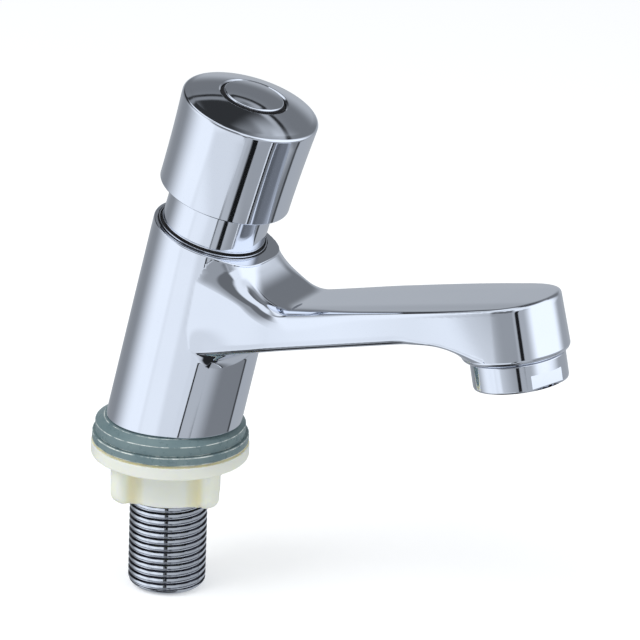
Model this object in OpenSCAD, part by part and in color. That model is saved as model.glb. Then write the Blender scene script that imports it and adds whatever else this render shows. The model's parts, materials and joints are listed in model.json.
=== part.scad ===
// Push timed tap: a self-closing basin pillar tap with a leaning barrel and a rising spout.
// Millimetres. Origin on the shank's axis at the underside of the upper gasket, +Z up, +X along the spout.

/* [Barrel] */
// Radius of the barrel where it meets the gasket
base_r = 16.6; // [15.8:0.1:17.4]
// Radius of the barrel at its rim
rim_r = 15.5; // [15.2:0.1:16.2]
// How far the rim's centre stands forward of the shank's axis
rim_x = 11; // [9.5:0.25:12]
// Height of the rim's centre above the deck
rim_z = 57.3; // [56:0.1:60]
// Lean of the rim, the neck and the button from the vertical, in degrees
head_tilt = 16.2; // [14.5:0.1:17]

/* [Spout] */
// Distance from the shank's axis to the outlet
reach = 99; // [92:0.5:110]
// Height of the outlet's rim above the deck
outlet_z = 42.8; // [42:0.1:44.5]
// Rise of the spout from the level, in degrees
spout_rise = 12.3; // [11.5:0.1:12.8]
// Radius of the outlet boss at its lower rim
boss_r = 13.45; // [13.3:0.05:14.2]
// Height of the spout's top face above the outlet's rim
boss_h = 14.8; // [14.4:0.1:15.6]
// Half of the spout's width
spout_w = 13; // [12.4:0.1:13.4]
// Thickness of the spout just before the boss
spout_t = 9; // [8.6:0.1:9.6]
// Taper of the spout's underside against its top face, in degrees
spout_taper = 3.1; // [2.6:0.1:3.6]
// Rounding of the spout's long edges
edge_r = 2.2; // [1.6:0.1:2.6]
// Radius of the waterway inside the spout
duct_r = 3; // [2.4:0.1:3.3]

/* [Button] */
// Height of neck that shows between the rim and the button
neck_show = 11.3; // [10.5:0.1:13]
// Radius of the neck
neck_r = 13.4; // [13.1:0.05:13.6]
// Radius of the button at its lower edge
cap_low_r = 16.95; // [16.7:0.05:17.6]
// Radius of the button at its upper edge
cap_top_r = 17.7; // [17.4:0.05:18.4]
// Height of the button's side
cap_h = 24.6; // [24:0.1:27]
// Rise of the button's domed top
dome_h = 3.9; // [3.6:0.1:4.4]
// Radius of the index disc's recess
index_r = 8.5; // [8.2:0.1:9]
// Stroke of the button
travel = 7; // [5:0.25:7.5]

/* [Valve] */
// Radius of the stem
stem_r = 4; // [3.8:0.05:4.1]
// Wire diameter of the return spring
spring_wire = 1.2; // [1:0.05:1.3]
// Number of turns of the return spring
spring_turns = 8; // [6:1:9]
// Radius of the opening in the valve seat
orifice_r = 6.2; // [5.4:0.1:6.6]

/* [Shank] */
// Radius over the crests of the G1/2 thread
thread_r = 10.4775; // [10.4:0.0025:10.5]
// Pitch of the G1/2 thread
thread_p = 1.814; // [1.8:0.002:1.83]
// Length of the shank below the deck seat
shank_l = 43; // [40:0.5:50]
// Radius of the bore through the shank
shank_bore = 6.5; // [6:0.1:6.8]

/* [Fixings] */
// Thickness of the upper gasket under the barrel
gasket_t = 4.15; // [3.8:0.05:4.4]
// Radius of the upper gasket
gasket_r = 19.7; // [19:0.1:20.4]
// Thickness of the lower washer
washer_t = 2.2; // [1.8:0.1:2.8]
// Radius of the nut's flange
flange_r = 20.7; // [20.2:0.1:21.4]
// Thickness of the nut's flange
flange_t = 4; // [3.6:0.1:4.6]
// Height of the nut's hub below its flange
hub_h = 10.6; // [9.6:0.1:11.6]
// Radius of the nut's hub
hub_r = 13.4; // [12.8:0.1:13.8]
// Reach of the nut's four wings from its axis
wing_r = 18.6; // [17.6:0.1:19.6]
// Thickness of a wing
wing_t = 5; // [4.4:0.1:5.8]
// Direction of the first wing, in degrees from the spout
wing_turn = -19; // [-45:1:45]

/* [Outlet] */
// Radius of the aerator's ring
aer_r = 11.95; // [11.7:0.05:12.2]
// Height of the aerator's ring below the outlet's rim
aer_h = 7.3; // [6.8:0.1:8]

/* [Hidden] */
// what is drawn: "all" or one node's name
// clearances: sliding gap, running fit, and slack between fixed parts
slide_gap = 0.45;
run_fit = 0.05;
slack = 0.1;
// smoothness of the round shapes
$fn = 96;

// levels along the head's axis, measured from the rim
cap_z = neck_show;
cap_top = cap_z + cap_h;
apex = cap_top + dome_h;
dome_r = (cap_top_r*cap_top_r + dome_h*dome_h)/(2*dome_h);
// height of the dome above the button's upper edge at a radius
function dome_at(r) = sqrt(dome_r*dome_r - r*r) - (dome_r - dome_h);
cap_in = neck_r + slide_gap;
ceiling = cap_top - 2.9;
recess_z = cap_top + dome_at(index_r) - 1.9;
head_seat = recess_z - 2.6;
neck_top = ceiling - travel - 5;
seal_h = 0.8;
chamber_r = 11;
skirt_r = chamber_r - slack;
pocket_z = 7.5;
pocket_r = 9.2;
bush_r = 6;
bush_lo = -0.2;
bush_flange = 1.2;
oring_r = (bush_r - stem_r - run_fit - 0.05)/2;
bonnet_lo = -6;
piston_top = -8;
piston_h = 5;
sleeve_in = 8.2;
sleeve_lo = piston_top - piston_h - travel - 1;
seat_top = -27;
seat_t = 3;
seat_lo = seat_top - seat_t;
washer_face_r = 8;
rod_r = 3;
stem_lo = seat_lo - 8;
well_r = washer_face_r + 1;
well_lo = stem_lo - travel - 1;
spring_r = stem_r + 2.6;

// levels along the spout's own frame, measured from the outlet's rim
under_z = boss_h - spout_t;
duct_z = boss_h - spout_t/2 + 0.1;
flare = 10.5;
lip_r = 0.8;
outlet_bore = 11;
outlet_deep = 6.9;

// the barrel's own lean, from the gasket to the rim
barrel_tilt = atan2(rim_x, rim_z - gasket_t);
barrel_l = sqrt(pow(rim_x, 2) + pow(rim_z - gasket_t, 2));
spigot_r = 8.6;
spigot_h = 5.2;
collar_r = 10.1;
shank_seal_t = 1;

// the lower washer lies just inside the edge of the nut's flange
washer_inset = 0.2;
washer_r = flange_r - washer_inset;

// inlet strainer in the shank's lower end
inlet_deep = 7;
inlet_step = 1.2;
strainer_z = 4.6;
strainer_h = 9;
strainer_wall = 1;
strainer_hole = 0.8;

// aerator: cartridge, screen and the seal above them
cartridge_r = 8.9;
cartridge_lip = 9.1;
cartridge_z = 3.6;
cartridge_h = 9.4;
cartridge_in = 7.9;
jet_r = 0.8;
screen_r = 9.7;
screen_z = 5.9;
screen_t = 0.8;
screen_pitch = 2.1;
screen_hole = 1.5;
thread_up = 6;
outlet_seal_in = 8.2;
ring_in = 9.2;
mouth_in = 9.9;
mouth_h = 2.2;
flat_deep = 0.94;
flat_h = 4;

// screw that holds the button on its stem
screw_r = 3.6;
screw_h = 2.2;
screw_l = 12;
screw_rod = 2;

// frame of the leaning head: its Z runs up the button's axis from the rim
module head() { translate([rim_x, 0, rim_z]) rotate([0, head_tilt, 0]) children(); }

// frame of the spout: its X runs along the spout and its Z up the outlet's axis
module outlet() { translate([reach, 0, outlet_z]) rotate([0, -spout_rise, 0]) children(); }

// plain ring: inner and outer radius, lower and upper level
module ring(ri, ro, lo, hi) {
  translate([0, 0, lo]) difference() {
    cylinder(r = ro, h = hi - lo);
    translate([0, 0, -1]) cylinder(r = ri, h = hi - lo + 2);
  }
}

// round wire ring: wire radius, mean radius, level
module wire_ring(rw, rm, z) { translate([0, 0, z]) rotate_extrude() translate([rm, 0]) circle(r = rw); }

// leaning barrel, cut level at the gasket and square to the head at the rim
module barrel_cut() {
  intersection() {
    children();
    translate([-60, -60, gasket_t]) cube([120, 120, 100]);
    head() translate([0, 0, -90]) cylinder(r1 = rim_r - 1.15 + 90, r2 = rim_r - 1.15, h = 90);
  }
}
module barrel() {
  barrel_cut() translate([0, 0, gasket_t]) rotate([0, barrel_tilt, 0]) translate([0, 0, -8])
    cylinder(r1 = base_r + (base_r - rim_r)*8/barrel_l,
             r2 = rim_r - (base_r - rim_r)*10/barrel_l, h = barrel_l + 18);
}

// swell of the barrel towards the spout, kept below the sweep
swell_low = 3.2;
swell_top = 6;
swell_r1 = base_r - 1.1;
swell_r2 = rim_r - 1.9;
swell_tilt = atan2(rim_x + swell_top - swell_low, rim_z - gasket_t);
swell_l = sqrt(pow(rim_x + swell_top - swell_low, 2) + pow(rim_z - gasket_t, 2));
module swell() {
  difference() {
    barrel_cut() translate([swell_low, 0, gasket_t]) rotate([0, swell_tilt, 0]) translate([0, 0, -8])
      cylinder(r1 = swell_r1 + (swell_r1 - swell_r2)*8/swell_l,
               r2 = swell_r2 - (swell_r1 - swell_r2)*10/swell_l, h = swell_l + 18);
    outlet() rotate([90, 0, 0]) translate([0, 0, -30]) linear_extrude(60) sweep_cut();
  }
}

// the sweep, drawn from the side: a ramp down from the rim, then a round into the spout's top face
ramp = 17;
sweep_r = 11;
front_x = (rim_x + rim_r*cos(barrel_tilt) - reach)*cos(spout_rise)
  + (rim_z - rim_r*sin(barrel_tilt) - outlet_z)*sin(spout_rise);
front_z = (reach - rim_x - rim_r*cos(barrel_tilt))*sin(spout_rise)
  + (rim_z - rim_r*sin(barrel_tilt) - outlet_z)*cos(spout_rise);
corner_x = front_x + (front_z - boss_h)*tan(ramp);
tan_l = sweep_r/tan((90 + ramp)/2);
module sweep_fill() {
  difference() {
    polygon([[corner_x - 0.5, boss_h - 0.5], [corner_x - tan_l*sin(ramp), boss_h + tan_l*cos(ramp)],
             [corner_x + tan_l, boss_h], [corner_x + tan_l, boss_h - 0.5]]);
    translate([corner_x + tan_l, boss_h + sweep_r]) circle(r = sweep_r);
  }
}
module sweep_cut() {
  difference() {
    polygon([[corner_x, boss_h], [corner_x - 60*tan(ramp), boss_h + 60], [40, boss_h + 60], [40, boss_h]]);
    sweep_fill();
  }
}
module sweep_tail() {
  outlet() intersection() {
    rotate([90, 0, 0]) translate([0, 0, -5.5]) linear_extrude(11) sweep_fill();
    translate([corner_x + tan_l - 15, 0, 0]) cylinder(r = 15, h = 60);
  }
}

// spout's rounded section, drawn across the spout
module spout_section() {
  a = spout_w - edge_r;
  low = -14;
  translate([-a, low]) square([2*a, boss_h - low]);
  translate([-spout_w, low]) square([2*spout_w, boss_h - edge_r - low]);
  for (s = [-1, 1]) translate([s*a, boss_h - edge_r]) circle(r = edge_r);
}

// spout's side outline: flat top and tapered underside, from inside the barrel to the boss
root_x = -reach + rim_x - 4;
module spout_side() {
  drop = (-24 - root_x)*tan(spout_taper);
  polygon([[root_x, boss_h], [4, boss_h], [4, under_z], [-24, under_z], [root_x, under_z - drop]]);
}

// round boss that carries the outlet, flared into the spout's underside
module boss() {
  rotate_extrude() difference() {
    union() {
      polygon([[0, 0], [boss_r - lip_r, 0], [boss_r, lip_r], [spout_w, boss_h - edge_r],
               [spout_w - edge_r, boss_h - edge_r], [spout_w - edge_r, boss_h], [0, boss_h]]);
      translate([spout_w - edge_r, boss_h - edge_r]) circle(r = edge_r);
      translate([boss_r - lip_r, lip_r]) circle(r = lip_r);
    }
    translate([-10, -5]) square([10, boss_h + 10]);
  }
}
module boss_flare() {
  intersection() {
    rotate_extrude() difference() {
      polygon([[0, lip_r + 0.4], [boss_r - 0.2, lip_r + 0.4], [boss_r - 0.2 + flare, under_z],
               [boss_r - 0.2 + flare, under_z + 1], [0, under_z + 1]]);
      translate([boss_r - 0.2 + flare, under_z - flare]) circle(r = flare);
    }
    translate([-40, -spout_w, -1]) cube([40, 2*spout_w, 20]);
  }
}

module spout() {
  outlet() {
    intersection() {
      rotate([90, 0, 90]) translate([0, 0, root_x]) linear_extrude(4 - root_x) spout_section();
      rotate([90, 0, 0]) translate([0, 0, -20]) linear_extrude(40) spout_side();
    }
    boss();
    boss_flare();
  }
}

module tap_body() {
  color([0.80, 0.82, 0.85]) difference() {
    union() {
      barrel();
      swell();
      sweep_tail();
      spout();
    }
    // valve chamber, seat step and the well under the seat
    head() {
      translate([0, 0, seat_lo]) cylinder(r = chamber_r, h = -seat_lo + 5);
      translate([0, 0, well_lo]) cylinder(r = well_r, h = -well_lo);
    }
    // waterway up from the shank, with the seat for its spigot
    translate([0, 0, -1]) cylinder(r = shank_bore, h = gasket_t + spigot_h + 6);
    translate([0, 0, -1]) cylinder(r = spigot_r + slack, h = gasket_t + spigot_h + 1);
    // waterway along the spout and the chamber above the aerator
    outlet() {
      translate([-reach + rim_x - 8, 0, duct_z]) rotate([0, 90, 0]) cylinder(r = duct_r, h = reach - rim_x + 8);
      translate([0, 0, -1]) cylinder(r = outlet_bore, h = outlet_deep + 1);
      cylinder(r = 8, h = boss_h - 2.2);
    }
  }
}

module bonnet() {
  color([0.84, 0.85, 0.87]) head() rotate_extrude() polygon([
    [stem_r + 0.5, bonnet_lo], [skirt_r, bonnet_lo], [skirt_r, seal_h], [neck_r, seal_h],
    [neck_r, neck_top - 0.6], [neck_r - 0.6, neck_top], [pocket_r, neck_top], [pocket_r, pocket_z],
    [bush_r, pocket_z], [bush_r, bush_lo - 2*oring_r - 0.2], [stem_r + 0.5, bush_lo - 2*oring_r - 0.2]]);
}

module rim_seal() { color([0.08, 0.08, 0.09]) head() ring(skirt_r + 0.3, neck_r - 0.3, 0, seal_h); }

module trim_ring() {
  color([0.9, 0.91, 0.92]) head() rotate_extrude()
    polygon([[neck_r + 0.35, 0], [rim_r - 1.25, 0], [rim_r - 1.25, 0.9], [rim_r - 1.5, 1.15], [neck_r + 0.35, 1.15]]);
}

module guide_bush() {
  color([0.92, 0.91, 0.86]) head() {
    ring(stem_r + run_fit, bush_r - slack, bush_lo, pocket_z);
    ring(stem_r + run_fit, bush_r + 2, pocket_z, pocket_z + bush_flange);
  }
}

module stem_oring() {
  color([0.07, 0.07, 0.08]) head() wire_ring(oring_r, stem_r + run_fit + oring_r, bush_lo - oring_r - 0.1);
}

module dashpot_sleeve() { color([0.90, 0.90, 0.86]) head() ring(sleeve_in, skirt_r - 0.3, sleeve_lo, bonnet_lo); }

module valve_seat() { color([0.78, 0.62, 0.32]) head() ring(orifice_r, skirt_r, seat_lo, seat_top); }

// one wound wire: rings of points along a helix, closed at both ends
spring_lo = pocket_z + bush_flange;
function spring_pt(i, j, n, m) =
  let (t = i/n, a = 360*spring_turns*t, b = 360*j/m, w = spring_wire/2,
       run = ceiling - spring_lo - spring_wire - 0.04,
       r = spring_r + w*cos(b))
  [r*cos(a), r*sin(a), spring_lo + w + 0.02 + run*t + w*sin(b)];
module return_spring() {
  n = 12*spring_turns;
  m = 8;
  pts = [for (i = [0:n]) for (j = [0:m - 1]) spring_pt(i, j, n, m)];
  side = [for (i = [0:n - 1]) for (j = [0:m - 1])
    [i*m + j, (i + 1)*m + j, (i + 1)*m + (j + 1) % m, i*m + (j + 1) % m]];
  ends = [[for (j = [0:m - 1]) j], [for (j = [m - 1:-1:0]) n*m + j]];
  color([0.62, 0.63, 0.65]) head() polyhedron(points = pts, faces = concat(side, ends), convexity = 10);
}

// one thread crest after the other, as rings of the real pitch and depth
thread_d = 0.64*thread_p;
thread_top = -1.2;
thread_n = floor((shank_l + thread_top - 1.6)/thread_p);
thread_pts = [for (i = [0:thread_n - 1]) each [
  [thread_r - thread_d, thread_top - i*thread_p],
  [thread_r - thread_d, thread_top - (i + 0.14)*thread_p],
  [thread_r, thread_top - (i + 0.44)*thread_p],
  [thread_r, thread_top - (i + 0.70)*thread_p]]];
thread_end = thread_top - thread_n*thread_p;

module shank() {
  color([0.80, 0.63, 0.30]) rotate_extrude() polygon(concat(
    [[shank_bore, gasket_t + spigot_h], [spigot_r, gasket_t + spigot_h], [spigot_r, gasket_t - shank_seal_t],
     [collar_r, gasket_t - shank_seal_t], [collar_r, thread_top + 0.8]],
    thread_pts,
    [[thread_r - thread_d, thread_end], [thread_r - thread_d, -shank_l + 0.5], [thread_r - thread_d - 0.5, -shank_l],
     [shank_bore + inlet_step, -shank_l], [shank_bore + inlet_step, -shank_l + inlet_deep],
     [shank_bore, -shank_l + inlet_deep]]));
}

module shank_seal() { color([0.08, 0.08, 0.09]) ring(spigot_r + slack, collar_r, gasket_t - shank_seal_t, gasket_t); }

module inlet_filter() {
  color([0.85, 0.86, 0.84]) translate([0, 0, -shank_l]) difference() {
    union() {
      ring(shank_bore - 0.8, shank_bore + inlet_step - slack, strainer_z, inlet_deep);
      translate([0, 0, inlet_deep]) cylinder(r = shank_bore - 0.3, h = strainer_h);
    }
    translate([0, 0, strainer_z - 1])
      cylinder(r = shank_bore - 0.3 - strainer_wall, h = inlet_deep - strainer_z + strainer_h + 1 - strainer_wall);
    for (k = [0:2]) for (i = [0:9]) rotate([0, 0, i*36 + k*18])
      translate([0, 0, inlet_deep + 2*strainer_hole + k*2.75*strainer_hole])
        rotate([0, 90, 0]) cylinder(r = strainer_hole, h = 2*shank_bore, $fn = 24);
    for (i = [0:5]) rotate([0, 0, i*60]) translate([0.43*shank_bore, 0, inlet_deep + strainer_h - 2*strainer_wall])
      cylinder(r = strainer_hole + 0.1, h = 4*strainer_wall, $fn = 24);
  }
}

module aerator_housing() {
  flat = aer_r - flat_deep;
  flat_turn = 64.4;
  color([0.83, 0.84, 0.86]) outlet() difference() {
    rotate_extrude() polygon([
      [ring_in, thread_up], [outlet_bore - slack, thread_up], [outlet_bore - slack, -0.35], [aer_r - 0.4, -0.35],
      [aer_r, -0.75], [aer_r, -aer_h + 0.6], [aer_r - 0.6, -aer_h], [mouth_in, -aer_h],
      [mouth_in, -aer_h + mouth_h], [ring_in, -aer_h + mouth_h]]);
    // two opposite flats for a spanner
    rotate([0, 0, flat_turn]) for (s = [-1, 1])
      translate([-2*aer_r, s > 0 ? flat : -flat - aer_r, -aer_h - 1]) cube([4*aer_r, aer_r, flat_h + 1]);
  }
}

module aerator_gasket() { color([0.08, 0.08, 0.09]) outlet() ring(outlet_seal_in, outlet_bore - 0.2, thread_up, outlet_deep); }

module aerator_core() {
  color([0.80, 0.83, 0.85]) outlet() difference() {
    union() {
      translate([0, 0, -cartridge_z]) cylinder(r = cartridge_r, h = cartridge_h);
      translate([0, 0, -cartridge_z - jet_r]) cylinder(r = cartridge_lip, h = 1);
    }
    translate([0, 0, -cartridge_z - 2*jet_r]) cylinder(r = cartridge_in, h = cartridge_h - jet_r);
    for (i = [0:11]) rotate([0, 0, i*30]) translate([0.78*cartridge_in, 0, 0])
      cylinder(r = jet_r, h = 2*cartridge_h, $fn = 24);
    for (i = [0:5]) rotate([0, 0, i*60]) translate([0.4*cartridge_in, 0, 0])
      cylinder(r = jet_r, h = 2*cartridge_h, $fn = 24);
  }
}

module aerator_screen() {
  color([0.60, 0.62, 0.64]) outlet() translate([0, 0, -screen_z]) difference() {
    cylinder(r = screen_r, h = screen_t);
    for (i = [-3:3]) for (j = [-3:3]) if (i*i + j*j < 12)
      translate([i*screen_pitch - screen_hole/2, j*screen_pitch - screen_hole/2, -1])
        cube([screen_hole, screen_hole, screen_t + 2]);
  }
}

module upper_gasket() {
  color([0.45, 0.56, 0.60, 0.9]) rotate_extrude() polygon([
    [thread_r + 0.25, 0], [gasket_r - 0.3, 0], [gasket_r, 0.3], [gasket_r, gasket_t - 1.6],
    [gasket_r - 0.5, gasket_t - 1.1], [base_r + 0.8, gasket_t], [thread_r + 0.25, gasket_t]]);
}

// the button: a shell with a waisted side, a domed top and a recess for the index disc
waist = 0.28;
cap_arc = (pow(cap_h, 2)/4 + pow(waist, 2))/(2*waist);
cap_lean = atan2(cap_top_r - cap_low_r, cap_h);
module push_cap() {
  color([0.82, 0.84, 0.87]) head() difference() {
    rotate_extrude() intersection() {
      union() {
        difference() {
          polygon([[0, cap_z], [cap_low_r - 0.7, cap_z], [cap_low_r, cap_z + 0.7], [cap_top_r, cap_top - 0.9],
                   [cap_top_r - 0.7, cap_top], [0, cap_top]]);
          translate([(cap_low_r + cap_top_r)/2, cap_z + cap_h/2]) rotate(-cap_lean)
            translate([cap_arc - waist, 0]) circle(r = cap_arc, $fn = 360);
        }
        intersection() {
          translate([0, apex - dome_r]) circle(r = dome_r, $fn = 180);
          translate([0, cap_top - 0.05]) square([cap_top_r - 0.7, dome_h + 1]);
        }
      }
      square([40, 60]);
    }
    translate([0, 0, cap_z - 1]) cylinder(r = cap_in, h = ceiling - cap_z + 1);
    translate([0, 0, recess_z]) cylinder(r = index_r, h = 20);
    translate([0, 0, head_seat]) cylinder(r = screw_r + 0.4, h = 20);
    translate([0, 0, ceiling - 1]) cylinder(r = screw_rod + 0.2, h = 20);
  }
}

module index_disc() {
  rim = recess_z + 1.5;
  bulge = 1.1;
  rd = index_r - 0.7;
  rs = (rd*rd + bulge*bulge)/(2*bulge);
  color([0.86, 0.88, 0.90]) head() rotate_extrude() intersection() {
    union() {
      translate([0, recess_z]) square([rd, rim - recess_z]);
      translate([0, rim + bulge - rs]) circle(r = rs, $fn = 180);
    }
    translate([0, recess_z]) square([rd, 10]);
  }
}

module cap_screw() {
  color([0.66, 0.67, 0.69]) head() difference() {
    union() {
      translate([0, 0, head_seat]) cylinder(r = screw_r, h = screw_h);
      translate([0, 0, head_seat - screw_l]) cylinder(r = screw_rod, h = screw_l);
    }
    translate([0, 0, head_seat + screw_h - 1.2]) cylinder(r = screw_rod - 0.3, h = screw_h, $fn = 6);
  }
}

module stem() {
  color([0.72, 0.73, 0.75]) head() difference() {
    union() {
      translate([0, 0, stem_lo]) cylinder(r = rod_r, h = 30);
      translate([0, 0, piston_top - piston_h - 1]) cylinder(r = stem_r, h = ceiling - piston_top + piston_h + 1);
    }
    translate([0, 0, head_seat - screw_l - 0.5]) cylinder(r = screw_rod + 0.05, h = screw_l + 8);
  }
}

module piston() {
  color([0.88, 0.88, 0.84]) head() rotate_extrude() {
    lo = piston_top - piston_h;
    hi = piston_top;
    polygon([[stem_r + 0.02, lo], [sleeve_in - 0.4, lo], [sleeve_in - 0.4, lo + 1.6], [sleeve_in - 1.4, lo + 1.6],
             [sleeve_in - 1.4, lo + 3.4], [sleeve_in - 0.4, lo + 3.4], [sleeve_in - 0.4, hi], [stem_r + 0.02, hi]]);
  }
}

module piston_seal() {
  lo = piston_top - piston_h;
  color([0.07, 0.07, 0.08]) head() ring(sleeve_in - 1.35, sleeve_in - run_fit, lo + 1.7, lo + 3.3);
}

module seat_washer() { color([0.10, 0.10, 0.11]) head() ring(rod_r + 0.05, washer_face_r, seat_lo - 3, seat_lo); }

module washer_cup() { color([0.75, 0.60, 0.32]) head() ring(rod_r + 0.05, washer_face_r, seat_lo - 5, seat_lo - 3); }

module stem_nut() {
  color([0.70, 0.71, 0.73]) head() translate([0, 0, seat_lo - 7.4]) difference() {
    cylinder(r = 4.9, h = 2.4, $fn = 6);
    translate([0, 0, -1]) cylinder(r = rod_r + 0.05, h = 5);
  }
}

module lower_washer() {
  color([0.42, 0.53, 0.57, 0.9]) rotate_extrude() polygon([
    [thread_r + 0.4, -washer_t], [washer_r - 0.3, -washer_t], [washer_r, -washer_t + 0.3], [washer_r, -0.3],
    [washer_r - 0.3, 0], [thread_r + 0.4, 0]]);
}

// side of one wing, with its lower outer corner rounded
module wing(low) {
  round = 3;
  difference() {
    translate([thread_r + 1, low]) square([wing_r - thread_r - 1, hub_h + 1]);
    translate([wing_r - round, low - 1]) difference() {
      square([round + 1, round + 1]);
      translate([0, round + 1]) circle(r = round);
    }
  }
}

// the plastic nut: flange, hub and four finger wings with rounded lower corners
module backnut() {
  top = -washer_t;
  low = top - flange_t - hub_h;
  color([0.93, 0.90, 0.80]) difference() {
    union() {
      translate([0, 0, top - flange_t]) rotate_extrude() polygon([
        [0, 0.5], [0, flange_t], [flange_r - 0.4, flange_t], [flange_r, flange_t - 0.4], [flange_r, 0.6],
        [flange_r - 0.6, 0], [0, 0]]);
      translate([0, 0, low]) cylinder(r = hub_r, h = hub_h + 1);
      for (i = [0:3]) rotate([90, 0, wing_turn + i*90]) translate([0, 0, -wing_t/2]) linear_extrude(wing_t)
        wing(low);
    }
    translate([0, 0, low - 1]) cylinder(r = thread_r + 0.35, h = 40);
  }
}

tap_body();
bonnet();
rim_seal();
trim_ring();
guide_bush();
stem_oring();
dashpot_sleeve();
valve_seat();
return_spring();
shank();
shank_seal();
inlet_filter();
aerator_housing();
aerator_gasket();
aerator_core();
aerator_screen();
upper_gasket();
push_cap();
index_disc();
cap_screw();
stem();
piston();
piston_seal();
seat_washer();
washer_cup();
stem_nut();
lower_washer();
backnut();
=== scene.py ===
import json
import math

import bmesh
import bpy
import numpy as np
from mathutils import Matrix, Vector


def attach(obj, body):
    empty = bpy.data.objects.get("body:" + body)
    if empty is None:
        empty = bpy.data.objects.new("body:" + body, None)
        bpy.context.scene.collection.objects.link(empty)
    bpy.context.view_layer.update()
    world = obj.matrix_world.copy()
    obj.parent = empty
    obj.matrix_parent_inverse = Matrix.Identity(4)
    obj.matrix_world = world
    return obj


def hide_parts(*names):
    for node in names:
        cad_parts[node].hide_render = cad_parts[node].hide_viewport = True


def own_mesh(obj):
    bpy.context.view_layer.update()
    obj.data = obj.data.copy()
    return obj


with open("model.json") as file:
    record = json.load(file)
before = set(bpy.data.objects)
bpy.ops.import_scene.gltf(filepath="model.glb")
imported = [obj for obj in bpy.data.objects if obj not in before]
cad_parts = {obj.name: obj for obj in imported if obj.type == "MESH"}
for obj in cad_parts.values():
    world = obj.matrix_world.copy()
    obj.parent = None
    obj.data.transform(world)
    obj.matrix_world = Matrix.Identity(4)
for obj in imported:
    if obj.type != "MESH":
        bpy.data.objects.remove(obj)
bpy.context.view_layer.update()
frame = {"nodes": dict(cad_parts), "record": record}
MM = 0.001
DIAGONAL = math.sqrt(0.5)
ON_AXIS = 1e-6

# sizes in millimetres, from the part's source apart from the flare, which is a little wider here
# barrel and deck gasket
GASKET_T, GASKET_R, BASE_R = 4.15, 19.7, 16.6
RIM = np.array([11.0, 0.0, 57.3])
RIM_R = 15.5
# spout and boss
OUT = np.array([99.0, 0.0, 42.8])
BOSS_R, BOSS_H, SPOUT_W = 13.45, 14.8, 13.0
UNDER_Z, FLARE, FLARE_R = 5.8, 11.5, 23.0
TAPER = math.tan(math.radians(3.1))
RAMP, RAMP_X = math.radians(17), -65.09
# neck, button and spring
NECK_R, NECK_TOP = 13.4, 21.0
CAP_Z, CAP_H, CAP_LOW, CAP_TOP, DOME_H = 11.3, 24.6, 16.95, 17.7, 3.9
INDEX_R, CEILING, CAP_IN = 8.5, 33.0, 13.85
SPRING_LOW, SPRING_R, SPRING_WIRE, SPRING_TURNS = 8.7, 6.6, 1.2, 8
# shank, washer and nut
THREAD_R, THREAD_P, SHANK_L, BORE = 10.4775, 1.814, 43.0, 6.5
WASHER_T, WASHER_R, FLANGE_R, FLANGE_T = 2.2, 20.5, 20.7, 4.0
HUB_H, HUB_R, WING_R, WING_T, WING_TURN = 10.6, 13.4, 18.6, 5.0, -19.0
# outlet ring
AER_R, AER_H, FLAT_DEEP, FLAT_TURN, FLAT_H = 11.95, 7.3, 0.94, 64.4, 4.0


def lean(degrees):
    """Axes of a frame that leans towards +X, as columns."""
    a = math.radians(degrees)
    return np.array([[math.cos(a), 0, math.sin(a)], [0, 1, 0], [-math.sin(a), 0, math.cos(a)]])


HEAD_R, OUT_R, LEVEL = lean(16.2), lean(-12.3), np.eye(3)
UPSIDE_DOWN = np.array([[1.0, 0, 0], [0, -1, 0], [0, 0, -1]])
ORIGIN = np.zeros(3)


def placed(name, data):
    """A new object in the scene."""
    made = bpy.data.objects.new(name, data)
    bpy.context.scene.collection.objects.link(made)
    return made


class Shell:
    """A mesh in the making: points in millimetres, faces, a normal per face corner and a mark per face."""

    def __init__(self):
        self.points, self.faces, self.normals, self.edge = [], [], [], []
        self.count = 0

    def add(self, points, faces, normals, edge=0.0, origin=ORIGIN, axes=LEVEL):
        points = np.asarray(points, float) @ axes.T + origin
        start = self.count
        self.points.append(points)
        self.count += len(points)
        for k, face in enumerate(faces):
            self.faces.append([start + i for i in face])
            self.edge.append(edge if np.isscalar(edge) else edge[k])
        self.normals.append(np.asarray(normals, float).reshape(-1, 3) @ axes.T)

    def make(self, name, body, slot, material, *nodes):
        mesh = bpy.data.meshes.new(name)
        mesh.from_pydata((np.concatenate(self.points) * MM).tolist(), [], self.faces)
        mesh.polygons.foreach_set("use_smooth", np.ones(len(self.faces), bool))
        normals = np.concatenate(self.normals)
        normals /= np.maximum(np.linalg.norm(normals, axis=1, keepdims=True), 1e-9)
        mesh.normals_split_custom_set(normals.tolist())
        marks = mesh.attributes.new("edge", "FLOAT", "FACE")
        marks.data.foreach_set("value", np.array(self.edge, np.float32))
        mesh.materials.append(material)
        piece = placed(name, mesh)
        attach(piece, body)
        if nodes:
            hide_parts(*nodes)
        return piece


# turned shapes

def unit(v):
    return v / max(np.linalg.norm(v), 1e-12)


def around(count):
    """Evenly spaced angles of a full turn."""
    return np.arange(count) * 2 * math.pi / count


def right_of(d):
    """The direction to the right of a direction in a profile's plane."""
    return np.array([d[1], -d[0]])


def corner_arc(corner, d0, d1, radius, steps):
    """Segments of the round at a corner between the directions d0 and d1."""
    turn = math.atan2(d0[0] * d1[1] - d0[1] * d1[0], d0 @ d1)
    if abs(turn) < 1e-4:
        return []
    reach = radius * math.tan(abs(turn) / 2)
    side = math.copysign(1.0, turn)
    n0 = right_of(d0)
    spot, normal = corner - d0 * reach, n0
    centre = spot - side * radius * n0
    arc = []
    for k in range(1, steps + 1):
        w = turn * k / steps
        c, s = math.cos(w), math.sin(w)
        new_normal = np.array([n0[0] * c - n0[1] * s, n0[0] * s + n0[1] * c])
        new_spot = centre + side * radius * new_normal if k < steps else corner + d1 * reach
        arc.append((spot, new_spot, normal, new_normal, 1.0))
        spot, normal = new_spot, new_normal
    return arc


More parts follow.
